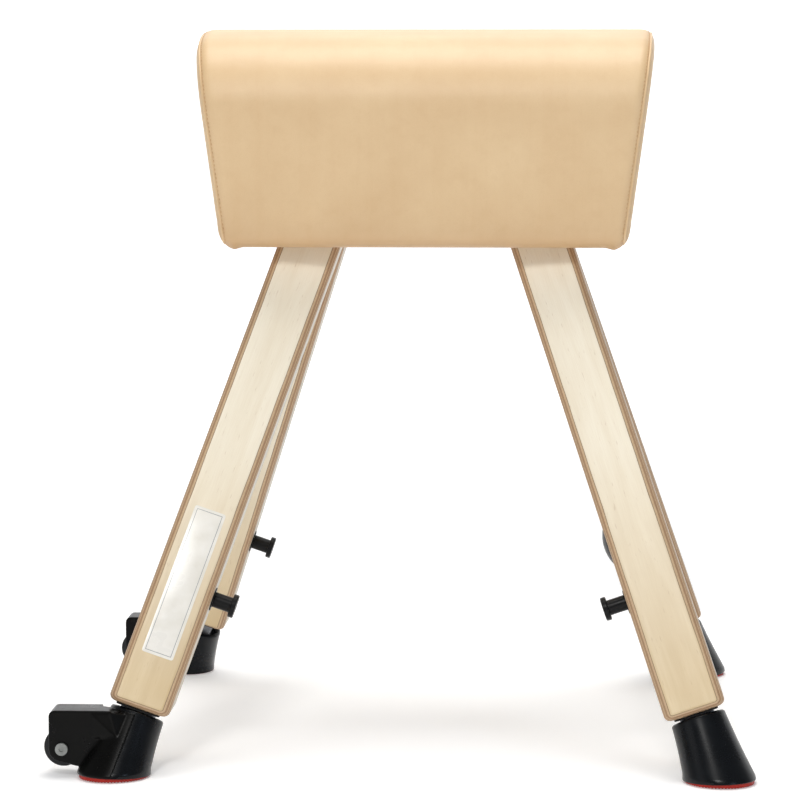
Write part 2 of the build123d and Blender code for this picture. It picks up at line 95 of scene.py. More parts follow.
LEG_HALF = 0.040
PLY_BOARD = 0.015            # thickness of a leg's front and back boards
PLY = 0.0015
FACE_VENEER = 0.00035
FOOT_TOP = 0.0832            # along the leg, from the floor
ANKLE_RADIUS = 0.0355
OVAL = (0.047, 0.044)
SOLE = 0.009
FOOT_SIDES = 64
HEM = (0.0036, 0.0027)       # height of the boot's lower edge, and how much higher it is on the outer side
RIM_LIFT = 0.0056            # of the boot's rim above the ankle, along the leg
RIM_TILT = 0.21              # how much the rim sinks towards the outer face
TREAD_PITCH = 0.0045
TREAD_DEPTH = 0.0021
WRAP = 0.0018                # thickness of the castor's shell over the boot
CASTOR_VOXEL = 0.0012
CASTOR_CHEEK = 0.0052        # thickness of the hood's sides beyond the hub
WRAP_SPAN = 0.53             # half of the shell's turn round the boot, as a share of pi
WRAP_STEPS = 24
GUSSET_SHARES = (0.58, 0.70, 0.82, 0.94)  # up the boot, from hem to rim
GUSSET_HEIGHT = 0.034        # down from the hood's top

LABEL_CENTRE = 0.2607        # along the leg
LABEL_SIZE = (0.042, 0.207)

SIDES = {"fl": (-1, -1), "fr": (1, -1), "rl": (-1, 1), "rr": (1, 1)}
PLUNGER_LEGS = ("fl", "fr", "rl")
CASTOR_LEGS = ("fl", "rl")

cover_low, cover_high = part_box("leather_cover")
left_low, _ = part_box("leather_end_left")
_, right_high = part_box("leather_end_right")
BODY_X = (left_low.x + right_high.x) / 2
BODY_HALF = (right_high.x - left_low.x) / 2
BODY_LOW, BODY_TOP = cover_low.z, cover_high.z


# ---- leg frames ----

def joint(name):
    return next(j for j in frame["joints"] if j["name"] == name)


class LegFrame:
    """Where a leg's axis meets the floor, and its directions: inward side face, front or back face, up."""

    def __init__(self, leg):
        low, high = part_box(f"sole_{leg}")
        self.origin = Vector(((low.x + high.x) / 2, (low.y + high.y) / 2, 0))
        self.up = Vector(joint(f"leg_{leg}_slide")["axis"]).normalized()
        if self.up.z < 0:
            self.up.negate()
        side, self.front = SIDES[leg]
        self.inner = Vector((-side, 0, -abs(self.up.x / self.up.z))).normalized()
        self.face = self.up.cross(self.inner)

    def at(self, inner, face, along):
        return self.origin + self.inner * inner + self.face * face + self.up * along


LEGS = {leg: LegFrame(leg) for leg in SIDES}


# ---- material tools ----

def rgb(red, green, blue):
    """A colour given as 0 to 255 on a screen, as the shader wants it."""
    linear = []
    for c in (red, green, blue):
        linear.append(((c / 255 + 0.055) / 1.055) ** 2.4 if c > 10 else c / 255 / 12.92)
    return (*linear, 1)


class Paint:
    """One material, with short calls for the nodes that its colour, roughness and bump are made of."""

    def __init__(self, name, **shader):
        self.material = bpy.data.materials.new(name)
        self.material.use_nodes = True
        self.tree = self.material.node_tree
        self.shader = self.tree.nodes["Principled BSDF"]
        for key, value in shader.items():
            self.shader.inputs[key.replace("_", " ")].default_value = value
        self.place = self.node("ShaderNodeTexCoord").outputs["Object"]

    def node(self, kind, **settings):
        made = self.tree.nodes.new(kind)
        for key, value in settings.items():
            setattr(made, key, value)
        return made

    def plug(self, socket, value):
        if isinstance(value, bpy.types.NodeSocket):
            self.tree.links.new(value, socket)
        else:
            socket.default_value = value

    def maths(self, operation, a, b=0.0, clamp=False):
        made = self.node("ShaderNodeMath", operation=operation, use_clamp=clamp)
        self.plug(made.inputs[0], a)
        self.plug(made.inputs[1], b)
        return made.outputs[0]

    def stretched(self, scale, place=None):
        """Coordinates multiplied by a different number on each axis."""
        made = self.node("ShaderNodeVectorMath", operation="MULTIPLY")
        self.plug(made.inputs[0], self.place if place is None else place)
        made.inputs[1].default_value = scale
        return made.outputs[0]

    def along(self, origin, direction):
        """How far a point is from the origin in one direction."""
        away = self.node("ShaderNodeVectorMath", operation="SUBTRACT")
        self.plug(away.inputs[0], self.place)
        away.inputs[1].default_value = origin
        made = self.node("ShaderNodeVectorMath", operation="DOT_PRODUCT")
        self.plug(made.inputs[0], away.outputs["Vector"])
        made.inputs[1].default_value = direction
        return made.outputs["Value"]

    def joined(self, x, y, z):
        made = self.node("ShaderNodeCombineXYZ")
        for socket, value in zip(made.inputs, (x, y, z)):
            self.plug(socket, value)
        return made.outputs[0]

    def noise(self, scale, place=None, detail=3.0, rough=0.55, distortion=0.0):
        made = self.node("ShaderNodeTexNoise")
        self.plug(made.inputs["Vector"], self.place if place is None else place)
        made.inputs["Scale"].default_value = scale
        made.inputs["Detail"].default_value = detail
        made.inputs["Roughness"].default_value = rough
        made.inputs["Distortion"].default_value = distortion
        return made.outputs["Fac"]

    def cells(self, scale, place=None, feature="F1", spread=1.0):
        made = self.node("ShaderNodeTexVoronoi", feature=feature)
        self.plug(made.inputs["Vector"], self.place if place is None else place)
        made.inputs["Scale"].default_value = scale
        made.inputs["Randomness"].default_value = spread
        return made.outputs["Distance"]

    def span(self, value, low, high, out_low=0.0, out_high=1.0):
        """Low to high becomes out_low to out_high, and stays there beyond them."""
        made = self.node("ShaderNodeMapRange", clamp=True)
        self.plug(made.inputs["Value"], value)
        limits = {"From Min": low, "From Max": high, "To Min": out_low, "To Max": out_high}
        for key, number in limits.items():
            made.inputs[key].default_value = number
        return made.outputs["Result"]

    def mix(self, share, first, second):
        made = self.node("ShaderNodeMix", data_type="RGBA")
        self.plug(made.inputs["Factor"], share)
        self.plug(made.inputs[6], first)
        self.plug(made.inputs[7], second)
        return made.outputs[2]

    def bump(self, height, strength, distance, normal=None):
        made = self.node("ShaderNodeBump")
        self.plug(made.inputs["Height"], height)
        made.inputs["Strength"].default_value = strength
        made.inputs["Distance"].default_value = distance
        if normal is not None:
            self.plug(made.inputs["Normal"], normal)
        return made.outputs["Normal"]

    def attribute(self, name):
        return self.node("ShaderNodeAttribute", attribute_name=name).outputs["Fac"]

    def finish(self, colour=None, roughness=None, normal=None):
        for key, value in (("Base Color", colour), ("Roughness", roughness), ("Normal", normal)):
            if value is not None:
                self.plug(self.shader.inputs[key], value)
        return self.material


def leather(name):
    """Pale vegetable-tanned hide: fine pores, soft clouds of colour, faint streaks across the body."""
    paint = Paint(name, Specular_IOR_Level=0.50, Coat_Weight=0.18, Coat_Roughness=0.42)
    clouds = paint.noise(7.0, detail=5.0, rough=0.6)
    streaks = paint.noise(1.0, paint.stretched((45.0, 2.5, 2.5)), detail=4.0, rough=0.6)
    mottle = paint.noise(60.0, detail=3.0)
    pores = paint.cells(620.0)
    grain = paint.noise(300.0, detail=4.0, rough=0.65)
    colour = paint.mix(paint.span(clouds, 0.3, 0.7), rgb(211, 179, 136), rgb(221, 192, 150))
    colour = paint.mix(paint.span(streaks, 0.45, 0.75, 0.0, 0.14), colour, rgb(204, 164, 116))
    colour = paint.mix(paint.span(mottle, 0.5, 0.8, 0.0, 0.14), colour, rgb(198, 158, 112))
    # darker beside the seams, and a painted shade that darkens the leather towards the body's base
    seam_darkening_and_low_shade = paint.attribute("seam_darkening_and_low_shade")
    colour = paint.mix(paint.maths("MULTIPLY", seam_darkening_and_low_shade, 0.62), colour, rgb(166, 120, 74))
    colour = paint.mix(paint.span(pores, 0.0, 0.35, 0.12, 0.0), colour, rgb(150, 104, 64))
    rough = paint.maths("ADD", paint.span(grain, 0.2, 0.8, 0.40, 0.52), paint.maths("MULTIPLY", seam_darkening_and_low_shade, 0.08))
    normal = paint.bump(pores, 0.16, 0.0004)
    normal = paint.bump(grain, 0.14, 0.0005, normal)
    normal = paint.bump(clouds, 0.20, 0.003, normal)
    return paint.finish(colour, rough, normal)


def plywood(name, leg):
    """Birch veneer on the front and back boards, whose edges show as plies beside the paler side boards."""
    paint = Paint(name, Specular_IOR_Level=0.4, Coat_Weight=0.12, Coat_Roughness=0.3)
    place = LEGS[leg]
    across = paint.along(place.origin, place.inner)
    through = paint.along(place.origin, place.face)
    up = paint.along(place.origin, place.up)
    wobble = paint.noise(1.0, paint.joined(0.0, 0.0, paint.maths("MULTIPLY", up, 9.0)), detail=2.0)
    depth = paint.maths("SUBTRACT", LEG_HALF, paint.maths("ABSOLUTE", through))
    depth = paint.maths("ADD", depth, paint.span(wobble, 0.3, 0.7, -0.00015, 0.00015))
    local = paint.joined(across, through, up)

    figure = paint.noise(1.0, paint.stretched((34.0, 34.0, 3.2), local), detail=5.0, rough=0.55,
                         distortion=0.6)
    fibres = paint.noise(1.0, paint.stretched((900.0, 900.0, 26.0), local), detail=2.0)
    flecks = paint.noise(1.0, paint.stretched((420.0, 420.0, 60.0), local), detail=2.0)
    pale = paint.mix(paint.span(figure, 0.32, 0.68), rgb(243, 235, 216), rgb(234, 223, 200))
    golden = paint.mix(paint.span(figure, 0.32, 0.68), rgb(219, 198, 159), rgb(207, 183, 141))
    veneer = paint.mix(paint.span(up, 0.12, 0.46), golden, pale)
    veneer = paint.mix(paint.span(fibres, 0.35, 0.8, 0.0, 0.13), veneer, rgb(192, 162, 122))
    veneer = paint.mix(paint.span(flecks, 0.66, 0.74, 0.0, 0.28), veneer, rgb(170, 136, 96))
    side = paint.mix(paint.span(figure, 0.3, 0.7), rgb(208, 203, 188), rgb(194, 186, 166))
    side = paint.mix(paint.span(fibres, 0.35, 0.8, 0.0, 0.2), side, rgb(164, 146, 120))

    layer = paint.maths("DIVIDE", paint.maths("SUBTRACT", depth, FACE_VENEER), PLY)
    part = paint.maths("FRACT", layer)
    odd = paint.maths("GREATER_THAN", paint.maths("FRACT", paint.maths("MULTIPLY", layer, 0.5)), 0.5)
    end_grain = paint.noise(1.0, paint.stretched((1500.0, 1500.0, 260.0), local), detail=2.0)
    ply = paint.mix(odd, rgb(204, 176, 142), rgb(174, 138, 104))
    ply = paint.mix(paint.span(end_grain, 0.4, 0.75, 0.0, 0.35), ply, rgb(122, 90, 62))
    glue = paint.maths("LESS_THAN", part, 0.17)
    ply = paint.mix(paint.maths("MULTIPLY", glue, 0.6), ply, rgb(96, 68, 46))

    edge = paint.maths("MULTIPLY", paint.maths("GREATER_THAN", depth, FACE_VENEER),
                       paint.maths("LESS_THAN", depth, PLY_BOARD))
    colour = paint.mix(paint.maths("GREATER_THAN", depth, PLY_BOARD), veneer, side)
    colour = paint.mix(edge, colour, ply)
    from_joint = paint.maths("ABSOLUTE", paint.maths("SUBTRACT", depth, PLY_BOARD))
    joint_line = paint.span(from_joint, 0.0, 0.0005, 0.7, 0.0)
    colour = paint.mix(joint_line, colour, rgb(92, 62, 40))
    grime = paint.noise(5.0, detail=4.0)
    colour = paint.mix(paint.span(grime, 0.55, 0.8, 0.0, 0.12), colour, rgb(150, 116, 78))
    rough = paint.maths("ADD", paint.span(fibres, 0.3, 0.7, 0.34, 0.44),
                        paint.maths("MULTIPLY", edge, 0.16))
    normal = paint.bump(fibres, 0.12, 0.0004)
    grooves = paint.maths("MULTIPLY", paint.maths("MULTIPLY", glue, edge), -1.0)
    normal = paint.bump(grooves, 0.35, 0.0005, normal)
    return paint.finish(colour, rough, normal)


def timber(name, light, dark):
    """Plain sawn wood, for the parts inside."""
    paint = Paint(name, Specular_IOR_Level=0.3)
    figure = paint.noise(1.0, paint.stretched((6.0, 40.0, 40.0)), detail=5.0, distortion=0.5)
    fibres = paint.noise(1.0, paint.stretched((40.0, 700.0, 700.0)), detail=2.0)
    colour = paint.mix(paint.span(figure, 0.3, 0.7), light, dark)
    colour = paint.mix(paint.span(fibres, 0.4, 0.8, 0.0, 0.3), colour, rgb(130, 96, 60))
    return paint.finish(colour, paint.span(fibres, 0.3, 0.7, 0.5, 0.65), paint.bump(fibres, 0.2, 0.0004))


def metal(name, tint, rough, scratch=0.5):
    """Plated or turned metal with fine scratches and a cloudy film."""
    paint = Paint(name, Metallic=1.0)
    cloud = paint.noise(40.0, detail=4.0)
    lines = paint.noise(1.0, paint.stretched((200.0, 200.0, 2600.0)), detail=2.0)
    colour = paint.mix(paint.span(cloud, 0.35, 0.7), tint, tuple(c * 0.72 for c in tint[:3]) + (1,))
    roughness = paint.maths("ADD", paint.span(cloud, 0.3, 0.7, rough - 0.06, rough + 0.08),
                            paint.span(lines, 0.4, 0.7, 0.0, 0.08))
    return paint.finish(colour, roughness, paint.bump(lines, 0.10 * scratch, 0.0002))


def plastic(name, light, dark, rough, grain=600.0, depth=0.12, scuff=0.06, specular=0.5, coat=0.0):
    """Moulded plastic or rubber: spark-eroded grain, uneven gloss and light scuffs."""
    paint = Paint(name, Specular_IOR_Level=specular, Coat_Weight=coat, Coat_Roughness=0.12)
    cloud = paint.noise(22.0, detail=4.0)
    fine = paint.noise(grain, detail=2.0)
    scuffs = paint.noise(1.0, paint.stretched((160.0, 90.0, 420.0)), detail=5.0, rough=0.7)
    colour = paint.mix(paint.span(cloud, 0.35, 0.7), dark, light)
    colour = paint.mix(paint.span(scuffs, 0.62, 0.8, 0.0, scuff), colour, rgb(170, 168, 165))
    roughness = paint.maths("ADD", paint.span(cloud, 0.3, 0.7, rough - 0.05, rough + 0.07),
                            paint.span(scuffs, 0.55, 0.8, 0.0, 0.12))
    return paint.finish(colour, roughness, paint.bump(fine, depth, 0.0003))


def felt(name):
    paint = Paint(name, Sheen_Weight=0.3)
    fibres = paint.noise(1.0, paint.stretched((900.0, 300.0, 500.0)), detail=4.0)
    flecks = paint.cells(240.0)
    colour = paint.mix(paint.span(fibres, 0.3, 0.7), rgb(190, 182, 168), rgb(150, 142, 130))
    colour = paint.mix(paint.span(flecks, 0.0, 0.12, 0.5, 0.0), colour, rgb(96, 110, 140))
    return paint.finish(colour, paint.span(fibres, 0.3, 0.7, 0.85, 0.95), paint.bump(fibres, 0.5, 0.001))


def vinyl(name, place):
    """A blank label: off-white film with a thin printed frame."""
    paint = Paint(name, Specular_IOR_Level=0.5, Coat_Weight=0.2, Coat_Roughness=0.15)
    origin = place.at(0, 0, LABEL_CENTRE)
    across = paint.maths("ABSOLUTE", paint.along(origin, place.inner))
    up = paint.maths("ABSOLUTE", paint.along(origin, place.up))
    reach = paint.maths("MAXIMUM", paint.maths("SUBTRACT", across, LABEL_SIZE[0] / 2 - 0.004),
                        paint.maths("SUBTRACT", up, LABEL_SIZE[1] / 2 - 0.004))
    line = paint.maths("LESS_THAN", paint.maths("ABSOLUTE", reach), 0.0004)
    cloud = paint.noise(30.0, detail=3.0)
    fine = paint.noise(700.0, detail=2.0)
    colour = paint.mix(paint.span(cloud, 0.35, 0.7), rgb(240, 237, 230), rgb(226, 222, 212))
    colour = paint.mix(paint.maths("MULTIPLY", line, 0.8), colour, rgb(120, 122, 126))
    return paint.finish(colour, paint.span(cloud, 0.3, 0.7, 0.26, 0.36), paint.bump(fine, 0.05, 0.0002))


def thread(name):
    paint = Paint(name, Sheen_Weight=0.2)
    twist = paint.noise(1600.0, detail=2.0)
    colour = paint.mix(paint.span(twist, 0.3, 0.7), rgb(214, 176, 130), rgb(168, 124, 80))
    return paint.finish(colour, paint.span(twist, 0.3, 0.7, 0.55, 0.7), paint.bump(twist, 0.4, 0.0003))


hide = leather("hide")
materials = {
    "thread": thread("waxed_thread"),
    "felt": felt("felted_padding"),
    "core": timber("core_timber", rgb(214, 180, 132), rgb(186, 146, 98)),
    "steel": metal("zinc_plate", (0.62, 0.63, 0.65, 1), 0.30),
    # the zinc tube's grey, darkened further as painted shade for the shadow inside the leg
    "tube": metal("zinc_tube", (0.26, 0.27, 0.29, 1), 0.42, scratch=0.8),
    "axle": metal("dull_zinc", (0.30, 0.31, 0.30, 1), 0.42),
    "brass": metal("brass", (0.72, 0.52, 0.22, 1), 0.28),
    "nylon": plastic("nylon", rgb(30, 30, 31), rgb(22, 22, 23), 0.45, specular=0.25),
    "black": plastic("black_plastic", rgb(14, 14, 15), rgb(8, 8, 9), 0.34, depth=0.08, scuff=0.02,
                     specular=0.22),
    "housing": plastic("castor_plastic", rgb(8, 8, 7), rgb(5, 5, 5), 0.28, grain=420.0, depth=0.06,
                       scuff=0.01, specular=0.12),
    # black rubber, with a blue cast painted into its colour as a painted reflection of the bluish lamps
    "foot": plastic("foot_rubber", rgb(8, 12, 17), rgb(5, 8, 12), 0.26, grain=300.0, depth=0.06, scuff=0.01,
                    specular=0.22),
    "sole": plastic("red_rubber", rgb(188, 34, 12), rgb(148, 20, 6), 0.55, scuff=0.06, specular=0.35),
    "tyre": plastic("tyre_rubber", rgb(34, 35, 38), rgb(22, 23, 25), 0.50, scuff=0.10, specular=0.35),
    "wheel": plastic("wheel_plastic", rgb(66, 68, 72), rgb(48, 50, 54), 0.38, scuff=0.08),
}


def dress(node, material):
    mesh = nodes[node].data
    mesh.materials.clear()
    mesh.materials.append(material)


def smooth(obj, angle=30.0):
    """Smooth shading, with edges sharper than the angle kept sharp."""
    obj.data.shade_smooth()
    obj.data.set_sharp_from_angle(angle=math.radians(angle))


def add_mesh(name, points, faces, material):
    mesh = bpy.data.meshes.new(name)
    mesh.from_pydata([tuple(p) for p in points], [], faces)
    mesh.update()
    mesh.materials.append(material)
    obj = bpy.data.objects.new(name, mesh)
    bpy.context.scene.collection.objects.link(obj)
    return obj


def applied(obj):
    """The object with its modifiers made part of its mesh."""
    bpy.context.view_layer.update()
    graph = bpy.context.evaluated_depsgraph_get()
    mesh = bpy.data.meshes.new_from_object(obj.evaluated_get(graph))
    obj.modifiers.clear()
    old = obj.data
    obj.data = mesh
    mesh.name = old.name
    bpy.data.meshes.remove(old)
    return obj


def ring_faces(rows, columns, flip=False):
    """Quads between rows of a closed loop."""
    faces = []
    for r in range(rows - 1):
        for c in range(columns):
            d = (c + 1) % columns
            quad = (r * columns + c, r * columns + d, (r + 1) * columns + d, (r + 1) * columns + c)
            faces.append(quad[::-1] if flip else quad)
    return faces


# ---- leather body ----

def body_section():
    """LOOP points round the body's section, evenly spaced, with the outward normal at each, as (y, z)."""
    flank = np.array(FLANK) / math.hypot(*FLANK)
    out = np.array((flank[1], -flank[0]))
    foot = np.array((BOTTOM_HALF, BODY_LOW))
    base_y = BOTTOM_HALF + (-BASE_RADIUS - BASE_RADIUS * out[1]) / out[0]
    base = np.array((base_y, BODY_LOW + BASE_RADIUS))
    crown = np.array((0.0, BODY_TOP - CROWN_RADIUS))
    start = foot - SHOULDER_RADIUS * out - crown
    half_b = start @ flank
    reach = CROWN_RADIUS - SHOULDER_RADIUS
    slide = -half_b + math.sqrt(half_b**2 - start @ start + reach**2)
    shoulder = crown + start + slide * flank
    meet = math.atan2(*(shoulder - crown)[::-1])
    lean = math.atan2(out[1], out[0])
    points, normals = [], []

    def arc(centre, radius, first, last, count):
        for angle in np.linspace(first, last, count):
            normal = np.array((math.cos(angle), math.sin(angle)))
            points.append(centre + radius * normal)
            normals.append(normal)

    for y in np.linspace(0, base[0], 200, endpoint=False):
        points.append(np.array((y, BODY_LOW)))
        normals.append(np.array((0.0, -1.0)))
    arc(base, BASE_RADIUS, -math.pi / 2, lean, 60)
    arc(shoulder, SHOULDER_RADIUS, lean, meet, 200)
    arc(crown, CROWN_RADIUS, meet, math.pi / 2, 200)
    points, normals = np.array(points), np.array(normals)
    mirror_by = np.array((-1.0, 1.0))
    points = np.vstack([points, points[-2:0:-1] * mirror_by, points[:1]])
    normals = np.vstack([normals, normals[-2:0:-1] * mirror_by, normals[:1]])
    length = np.concatenate([[0], np.cumsum(np.linalg.norm(np.diff(points, axis=0), axis=1))])
    even = np.linspace(0, length[-1], LOOP, endpoint=False)
    section = np.stack([np.interp(even, length, points[:, k]) for k in (0, 1)], axis=1)
    turned = np.stack([np.interp(even, length, normals[:, k]) for k in (0, 1)], axis=1)
    return section, turned / np.linalg.norm(turned, axis=1)[:, None]


SECTION, SECTION_NORMAL = body_section()
CENTRE = np.array((0.0, (BODY_LOW + BODY_TOP) / 2))


def row_at(inset, back, side, scale=1.0):
    """A row of points: the section inset, on the plane that is back from one end's leaning face."""
    flat = SECTION - inset * SECTION_NORMAL
    flat = CENTRE + (flat - CENTRE) * scale
    reach = BODY_HALF - END_TAPER * (BODY_TOP - LONGEST_DROP - flat[:, 1]) - back
    return np.column_stack([BODY_X + side * reach, flat])


def body_rows():
    """Rows from the middle of the left end, along the wrap, to the middle of the right end."""
    scales = [0.10, 0.25, 0.4, 0.54, 0.67, 0.78, 0.87, 0.94]
    seam_turn = math.asin(1 - SEAM / END_RADIUS)
    turns = [math.pi / 2, 1.35, 1.12, 0.90, seam_turn, 0.56, 0.36, 0.18]
    rows, kinds = [], []
    ends = []
    for scale in scales:
        ends.append((("cap", scale), "end"))
    for turn in turns:
        kind = "end" if turn > seam_turn else "wrap"
        if turn == seam_turn:
            kind = "seam"
        ends.append((("turn", turn), kind))
    for what, kind in ends:
        if what[0] == "cap":
            rows.append(row_at(END_RADIUS, 0.0, -1, what[1]))
        else:
            inset = END_RADIUS * (1 - math.cos(what[1]))
            rows.append(row_at(inset, END_RADIUS * (1 - math.sin(what[1])), -1))
        kinds.append(kind)
    left, right = row_at(0, END_RADIUS, -1), row_at(0, END_RADIUS, 1)
    for step in np.linspace(0, 1, ROWS):
        rows.append(left * (1 - step) + right * step)
        kinds.append("wrap")
    for what, kind in reversed(ends):
        if what[0] == "cap":
            rows.append(row_at(END_RADIUS, 0.0, 1, what[1]))
        else:
            inset = END_RADIUS * (1 - math.cos(what[1]))
            rows.append(row_at(inset, END_RADIUS * (1 - math.sin(what[1])), 1))
        kinds.append(kind)
    return np.array(rows), kinds


def stuffed(rows, kinds):
    """The rows after the padding has pushed the leather out, with the seams and the stapled base held."""
    count = len(rows)
    flat = rows.reshape(-1, 3)
    points = np.vstack([flat, rows[0].mean(0), rows[-1].mean(0)])
    faces = ring_faces(count, LOOP, flip=True)
    first, last = count * LOOP, count * LOOP + 1
    for c in range(LOOP):
        d = (c + 1) % LOOP
        faces.append((first, d, c))
        faces.append((last, (count - 1) * LOOP + c, (count - 1) * LOOP + d))
    rest = points.copy()
    bag = add_mesh("stuffing_trial", points, faces, hide)
    held = bag.vertex_groups.new(name="held")
    low_edge = BODY_LOW + 0.006
    for row, kind in enumerate(kinds):
        for column in range(LOOP):
            index = row * LOOP + column
            if kind == "seam":
                held.add([index], 1.0, "REPLACE")
            elif points[index][2] < low_edge:
                held.add([index], 0.9, "REPLACE")
    cloth = bag.modifiers.new("cloth", "CLOTH")
    settings = cloth.settings
    settings.quality = 5
    settings.mass = 0.6
    settings.tension_stiffness = settings.compression_stiffness = 25.0
    settings.shear_stiffness = 12.0
    settings.bending_stiffness = 2.0
    settings.use_pressure = True
    settings.uniform_pressure_force = 4.0
    settings.vertex_group_mass = "held"
    settings.pin_stiffness = 1.0
    settings.effector_weights.gravity = 0.0
    cloth.collision_settings.use_collision = False
    cloth.point_cache.frame_start, cloth.point_cache.frame_end = 1, 20
    scene = bpy.context.scene
    for number in range(1, 21):
        scene.frame_set(number)
    applied(bag)
    swollen = np.array([v.co for v in bag.data.vertices])
    scene.frame_set(1)
    bpy.data.objects.remove(bag)
    moved = (swollen - rest)[:count * LOOP].reshape(count, LOOP, 3)
    ends = np.array([kind == "end" for kind in kinds])
    out = np.zeros_like(rows)
    out[:, :, 1:] = SECTION_NORMAL
    faces_end = np.sign(rows[:, :, 0].mean(axis=1) - BODY_X)
    out[ends] = 0
    out[ends, :, 0] = faces_end[ends][:, None]
    pushed = np.maximum((moved * out).sum(axis=2), 0)
    limits = np.where(ends, END_PUFF, PUFF)[:, None]
    for chosen in (ends, ~ends):
        pushed[chosen] *= min(1.0, limits[chosen][0, 0] / max(pushed[chosen].max(), 1e-9))
    return rows + out * pushed[:, :, None]


def loop_mesh(name, rows, flip, cap=None, material=hide):
    """A mesh of closed rows, closed at one end by a fan if cap is 0 or -1."""
    points = rows.reshape(-1, 3)
    faces = ring_faces(len(rows), LOOP, flip=flip)
    if cap is not None:
        points = np.vstack([points, rows[cap].mean(0)])
        base = 0 if cap == 0 else (len(rows) - 1) * LOOP
        for c in range(LOOP):
            d = (c + 1) % LOOP
            turn = (len(points) - 1, base + c, base + d)
            faces.append(turn if (cap == 0) != flip else turn[::-1])
    return add_mesh(name, points, faces, material)


def tucked(rows, seam_row, inward):
    """Adds two rows that roll the leather's edge in under the seam."""
    ring = rows[seam_row]
    middle = np.array((BODY_X, 0.0, CENTRE[1]))
    towards = middle - ring
    towards[:, 0] = 0
    towards /= np.linalg.norm(towards, axis=1)[:, None]
    shift = np.zeros(3)
    shift[0] = inward
    return [ring + towards * 0.0012 + shift * 0.0006, ring + towards * 0.0045 + shift * 0.0008]


def edge_distances(points):
    """How far each point is from the body's section outline, measured in the plane across the body."""
    outline = np.vstack([SECTION, SECTION[:1]])
    fine = [a + (b - a) * step / 8 for a, b in zip(outline, outline[1:]) for step in range(8)]
    tree = KDTree(len(fine))
    for index, (y, z) in enumerate(fine):
        tree.insert((0.0, y, z), index)
    tree.balance()
    return np.array([tree.find((0.0, y, z))[2] for _, y, z in points])


def finished_leather(obj, seams):
    """Subdivides a piece, then adds the gathers beside its seams and marks where it is painted darker:
    beside its seams, and a painted shade towards its base.
    """
    subdivide = obj.modifiers.new("smooth", "SUBSURF")
    subdivide.levels = subdivide.render_levels = 1
    applied(obj)
    obj.data.shade_smooth()
    mesh = obj.data
    count = len(mesh.vertices)
    points = np.zeros(count * 3)
    mesh.vertices.foreach_get("co", points)
    points = points.reshape(-1, 3)
    normals = np.zeros(count * 3)
    mesh.vertices.foreach_get("normal", normals)
    normals = normals.reshape(-1, 3)
    leaning = END_TAPER * (BODY_TOP - LONGEST_DROP - points[:, 2])
    around = np.arctan2(points[:, 1], points[:, 2] - CENTRE[1]) * 0.19
    from_seam = np.full(count, 1.0)
    for side in seams:
        seam_x = BODY_X + side * (BODY_HALF - leaning - SEAM)
        from_seam = np.minimum(from_seam, np.abs(points[:, 0] - seam_x))
    if len(seams) == 1:
        from_seam = np.hypot(from_seam, np.maximum(edge_distances(points) - SEAM, 0))
    ripple = np.sin(around * 2 * math.pi / 0.026 + 1.7 * np.sin(around * 2 * math.pi / 0.11))
    ripple += 0.6 * np.sin(around * 2 * math.pi / 0.0155 + 0.8)
    corner = np.exp(-((points[:, 2] - BODY_LOW) / 0.05) ** 2)
    strength = (0.00016 + 0.00030 * corner) * np.exp(-from_seam / 0.011) * np.minimum(from_seam / 0.003, 1)
    points += normals * (ripple * strength)[:, None]
    fade = np.clip((EAR - from_seam) / 0.014, 0, 1)
    slack = np.exp(-((points[:, 2] - BODY_LOW) / 0.014) ** 2) * fade * fade * (3 - 2 * fade)
    points[:, 2] -= EAR_DROP * slack * np.clip(0.4 + from_seam / 0.02, 0, 1)
    mesh.vertices.foreach_set("co", points.ravel())
    mesh.update()
    # painted shade: the leather darkens towards the body's base, standing in for the shade under the body;
    # it also darkens beside the seams
    low = np.exp(-(points[:, 2] - BODY_LOW) / 0.020)
    seam_darkening_and_low_shade = np.clip(0.75 * np.exp(-from_seam / 0.0024) + 0.75 * low, 0, 1)
    attribute = mesh.attributes.new("seam_darkening_and_low_shade", "FLOAT", "POINT")
    attribute.data.foreach_set("value", seam_darkening_and_low_shade.astype(np.float32))
    return obj


def swept(name, path, outward, radius, sides, material):
    """A tube along a closed path."""
    count = len(path)
    ahead = np.roll(path, -1, axis=0) - np.roll(path, 1, axis=0)
    ahead /= np.linalg.norm(ahead, axis=1)[:, None]
    outward = outward - (outward * ahead).sum(1)[:, None] * ahead
    outward /= np.linalg.norm(outward, axis=1)[:, None]
    sideways = np.cross(ahead, outward)
    points, faces = [], []
    for k in range(sides):
        angle = 2 * math.pi * k / sides
        points.append(path + radius * (math.cos(angle) * outward + math.sin(angle) * sideways))
    points = np.concatenate(points)
    for k in range(sides):
        m = (k + 1) % sides
        for c in range(count):
            d = (c + 1) % count
            faces.append((k * count + c, m * count + c, m * count + d, k * count + d))
    obj = add_mesh(name, points, faces, material)
    obj.data.shade_smooth()
    return obj


def closed_samples(ring, pitch):
    """Distances at even steps round a closed loop, with the running length and the closed loop's points."""
    around = np.vstack([ring, ring[:1]])
    length = np.concatenate([[0], np.cumsum(np.linalg.norm(np.diff(around, axis=0), axis=1))])
    count = int(round(length[-1] / pitch))
    even = np.linspace(0, length[-1], count, endpoint=False)
    return even, length, around


def capsule(centre, ahead, out, length, radius):
    """Points and faces of one stitch: a short rod that thins and dives at both ends."""
    side = ahead.cross(out)
    points, faces = [], []
    stations = ((-0.5, 0.35, -0.9), (-0.34, 0.85, -0.1), (0.0, 1.0, 0.25), (0.34, 0.85, -0.1),
                (0.5, 0.35, -0.9))
    for run, thick, lift in stations:
        middle = centre + ahead * (run * length) + out * (lift * radius)
        for k in range(6):
            angle = math.pi * k / 3
            points.append(middle + (out * math.cos(angle) + side * math.sin(angle)) * radius * thick)
    for s in range(len(stations) - 1):
        for k in range(6):
            m = (k + 1) % 6
            faces.append((s * 6 + k, s * 6 + m, (s + 1) * 6 + m, (s + 1) * 6 + k))
    faces.append(tuple(range(5, -1, -1)))
    faces.append(tuple(range(24, 30)))
    return points, faces


